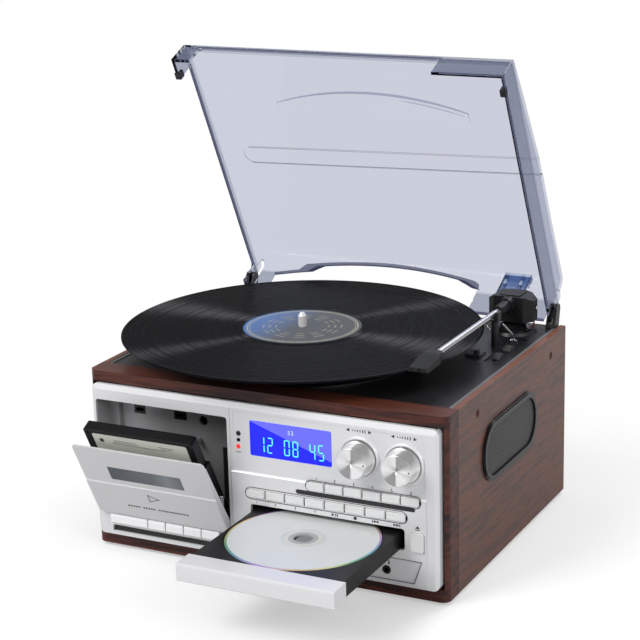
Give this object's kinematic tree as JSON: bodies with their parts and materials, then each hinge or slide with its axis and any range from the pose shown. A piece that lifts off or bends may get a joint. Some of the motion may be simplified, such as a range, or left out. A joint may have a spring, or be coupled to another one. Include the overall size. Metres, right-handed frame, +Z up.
{
  "type": "stereo music centre",
  "caption": "Wood-cased tabletop music centre: record deck with arm under a hinged clear cover, drop-out cassette door with keys, sliding disc tray, display, knobs and push buttons.",
  "frame": {"origin": "middle of the whole outline at rest (cover and door open, tray out), on the plane of the feet's soles", "axes": "+X to the right as seen from the front, +Y to the back, +Z up along the record spindle; front panel faces -Y"},
  "size_m": [0.3332, 0.4078, 0.3961],
  "materials": {
    "veneer_front": "satin mahogany veneer, grain along the width",
    "veneer_side": "satin mahogany veneer with slanting streaks",
    "board": "plain board",
    "foot_rubber": "matte",
    "screw_steel": "bright",
    "deck_black": "fine grained black",
    "panel_silver": "satin silver",
    "display_blue": "lit blue display",
    "well_grey": "satin grey",
    "motor_steel": "plain steel",
    "belt_rubber": "matte",
    "board_green": "circuit board",
    "socket_black": "black",
    "grille_black": "gloss black bezel with a woven mesh",
    "platter_grey": "dark grey",
    "record_black": "grooved black with a printed label",
    "pulley_brass": "turned",
    "turret_black": "gloss black cone",
    "arm_black": "matte black",
    "arm_steel": "polished",
    "switch_grey": "dark grey",
    "cover_clear": "clear, tinted blue",
    "knob_metal": "spun face, polished edge",
    "button_silver": "pearl silver",
    "key_white": "gloss pearl white",
    "window_smoke": "smoked clear",
    "holder_black": "black",
    "cassette_shell": "black shell with a cream label",
    "tray_dark": "dark grey",
    "tray_white": "gloss white",
    "disc_silver": "silver with a rainbow rim"
  },
  "bodies": {
    "cabinet": {"front_frame": "veneer_front", "side_left": "veneer_side", "side_right": "veneer_side", "back_panel": "board", "bottom_board": "board", "feet": "foot_rubber", "side_screws": "screw_steel", "deck": "deck_black", "front_panel": "panel_silver", "display_window": "display_blue", "cassette_well": "well_grey", "disc_drive": "well_grey", "platter_motor": "motor_steel", "drive_belt": "belt_rubber", "electronics": "board_green", "sockets": "socket_black", "speaker_grilles": "grille_black", "speaker_drivers": "motor_steel", "hinge_brackets": "deck_black"},
    "turntable": {"platter": "platter_grey", "record": "record_black"},
    "pulley": {"motor_pulley": "pulley_brass"},
    "turret": {"arm_turret": "turret_black"},
    "arm": {"arm_block": "arm_black", "arm_tube": "arm_steel", "headshell": "arm_black"},
    "cue": {"cue_lever": "arm_steel"},
    "speed": {"speed_switch": "switch_grey"},
    "autostop": {"autostop_switch": "switch_grey"},
    "cover": {"dust_cover": "cover_clear", "cover_bumpers": "foot_rubber"},
    "tuning": {"tuning_knob": "knob_metal"},
    "volume": {"volume_knob": "knob_metal"},
    "function_1": {"function_button_1": "button_silver"},
    "function_2": {"function_button_2": "button_silver"},
    "function_3": {"function_button_3": "button_silver"},
    "function_4": {"function_button_4": "button_silver"},
    "function_5": {"function_button_5": "button_silver"},
    "function_6": {"function_button_6": "button_silver"},
    "transport_1": {"transport_button_1": "button_silver"},
    "transport_2": {"transport_button_2": "button_silver"},
    "transport_3": {"transport_button_3": "button_silver"},
    "transport_4": {"transport_button_4": "button_silver"},
    "transport_5": {"transport_button_5": "button_silver"},
    "transport_6": {"transport_button_6": "button_silver"},
    "transport_7": {"transport_button_7": "button_silver"},
    "transport_8": {"transport_button_8": "button_silver"},
    "key_1": {"cassette_key_1": "key_white"},
    "key_2": {"cassette_key_2": "key_white"},
    "key_3": {"cassette_key_3": "key_white"},
    "key_4": {"cassette_key_4": "key_white"},
    "key_5": {"cassette_key_5": "key_white"},
    "open_close": {"open_button": "button_silver"},
    "cassette_door": {"door": "panel_silver", "door_window": "window_smoke", "cassette_holder": "holder_black"},
    "tape": {"cassette": "cassette_shell"},
    "disc_tray": {"tray": "tray_dark", "tray_front": "tray_white"},
    "compact_disc": {"disc": "disc_silver"}
  },
  "joints": [
    {"name": "cover_hinge", "type": "hinge", "parent": "cabinet", "child": "cover", "pos_m": [0.00615, 0.18103, 0.1677], "axis": [-1, 0, 0], "range_deg": [-63.5, 0]},
    {"name": "door_hinge", "type": "hinge", "parent": "cabinet", "child": "cassette_door", "pos_m": [-0.08235, -0.07927, 0.0307], "axis": [1, 0, 0], "range_deg": [-27.6, 0]},
    {"name": "cassette_lift", "type": "slide", "parent": "cassette_door", "child": "tape", "axis": [0, -0.4633, 0.8862], "range_m": [0, 0.045]},
    {"name": "tray_slide", "type": "slide", "parent": "cabinet", "child": "disc_tray", "axis": [0, -1, 0], "range_m": [-0.117, 0]},
    {"name": "disc_spin", "type": "hinge", "parent": "disc_tray", "child": "compact_disc", "pos_m": [0.06385, -0.12317, 0.0567], "axis": [0, 0, 1], "continuous": true},
    {"name": "platter_spin", "type": "hinge", "parent": "cabinet", "child": "turntable", "pos_m": [-0.01585, 0.03813, 0.163], "axis": [0, 0, 1], "continuous": true},
    {"name": "pulley_spin", "type": "hinge", "parent": "cabinet", "child": "pulley", "pos_m": [-0.07878, 0.10107, 0.16], "axis": [0, 0, 1], "continuous": true},
    {"name": "arm_swivel", "type": "hinge", "parent": "cabinet", "child": "turret", "pos_m": [0.12715, 0.15513, 0.153], "axis": [0, 0, -1], "range_deg": [0, 34]},
    {"name": "arm_lift", "type": "hinge", "parent": "turret", "child": "arm", "pos_m": [0.12715, 0.15513, 0.1745], "axis": [-1, 0, 0], "range_deg": [0, 10]},
    {"name": "cue_lift", "type": "hinge", "parent": "cabinet", "child": "cue", "pos_m": [0.13715, 0.12913, 0.1513], "axis": [-1, 0, 0], "range_deg": [0, 25]},
    {"name": "speed_slide", "type": "slide", "parent": "cabinet", "child": "speed", "axis": [0, 1, 0], "range_m": [-0.004, 0.004]},
    {"name": "autostop_slide", "type": "slide", "parent": "cabinet", "child": "autostop", "axis": [0, 1, 0], "range_m": [-0.004, 0.004]},
    {"name": "tuning_turn", "type": "hinge", "parent": "cabinet", "child": "tuning", "pos_m": [0.09355, -0.09187, 0.1133], "axis": [0, -1, 0], "range_deg": [-150, 150]},
    {"name": "volume_turn", "type": "hinge", "parent": "cabinet", "child": "volume", "pos_m": [0.13095, -0.09187, 0.113], "axis": [0, -1, 0], "range_deg": [-150, 150]},
    {"name": "function_press_1", "type": "slide", "parent": "cabinet", "child": "function_1", "axis": [0, 1, 0], "range_m": [0, 0.001], "stiffness_N_per_m": 300},
    {"name": "function_press_2", "type": "slide", "parent": "cabinet", "child": "function_2", "axis": [0, 1, 0], "range_m": [0, 0.001], "stiffness_N_per_m": 300},
    {"name": "function_press_3", "type": "slide", "parent": "cabinet", "child": "function_3", "axis": [0, 1, 0], "range_m": [0, 0.001], "stiffness_N_per_m": 300},
    {"name": "function_press_4", "type": "slide", "parent": "cabinet", "child": "function_4", "axis": [0, 1, 0], "range_m": [0, 0.001], "stiffness_N_per_m": 300},
    {"name": "function_press_5", "type": "slide", "parent": "cabinet", "child": "function_5", "axis": [0, 1, 0], "range_m": [0, 0.001], "stiffness_N_per_m": 300},
    {"name": "function_press_6", "type": "slide", "parent": "cabinet", "child": "function_6", "axis": [0, 1, 0], "range_m": [0, 0.001], "stiffness_N_per_m": 300},
    {"name": "transport_press_1", "type": "slide", "parent": "cabinet", "child": "transport_1", "axis": [0, 1, 0], "range_m": [0, 0.001], "stiffness_N_per_m": 300},
    {"name": "transport_press_2", "type": "slide", "parent": "cabinet", "child": "transport_2", "axis": [0, 1, 0], "range_m": [0, 0.001], "stiffness_N_per_m": 300},
    {"name": "transport_press_3", "type": "slide", "parent": "cabinet", "child": "transport_3", "axis": [0, 1, 0], "range_m": [0, 0.001], "stiffness_N_per_m": 300},
    {"name": "transport_press_4", "type": "slide", "parent": "cabinet", "child": "transport_4", "axis": [0, 1, 0], "range_m": [0, 0.001], "stiffness_N_per_m": 300},
    {"name": "transport_press_5", "type": "slide", "parent": "cabinet", "child": "transport_5", "axis": [0, 1, 0], "range_m": [0, 0.001], "stiffness_N_per_m": 300},
    {"name": "transport_press_6", "type": "slide", "parent": "cabinet", "child": "transport_6", "axis": [0, 1, 0], "range_m": [0, 0.001], "stiffness_N_per_m": 300},
    {"name": "transport_press_7", "type": "slide", "parent": "cabinet", "child": "transport_7", "axis": [0, 1, 0], "range_m": [0, 0.001], "stiffness_N_per_m": 300},
    {"name": "transport_press_8", "type": "slide", "parent": "cabinet", "child": "transport_8", "axis": [0, 1, 0], "range_m": [0, 0.001], "stiffness_N_per_m": 300},
    {"name": "key_press_1", "type": "slide", "parent": "cabinet", "child": "key_1", "axis": [0, 1, 0], "range_m": [0, 0.003], "stiffness_N_per_m": 400},
    {"name": "key_press_2", "type": "slide", "parent": "cabinet", "child": "key_2", "axis": [0, 1, 0], "range_m": [0, 0.003], "stiffness_N_per_m": 400},
    {"name": "key_press_3", "type": "slide", "parent": "cabinet", "child": "key_3", "axis": [0, 1, 0], "range_m": [0, 0.003], "stiffness_N_per_m": 400},
    {"name": "key_press_4", "type": "slide", "parent": "cabinet", "child": "key_4", "axis": [0, 1, 0], "range_m": [0, 0.003], "stiffness_N_per_m": 400},
    {"name": "key_press_5", "type": "slide", "parent": "cabinet", "child": "key_5", "axis": [0, 1, 0], "range_m": [0, 0.003], "stiffness_N_per_m": 400},
    {"name": "open_press", "type": "slide", "parent": "cabinet", "child": "open_close", "axis": [0, 1, 0], "range_m": [0, 0.001], "stiffness_N_per_m": 300}
  ],
  "couplings": [
    {"joint": "pulley_spin", "follows": "platter_spin", "ratio": 19.5}
  ]
}
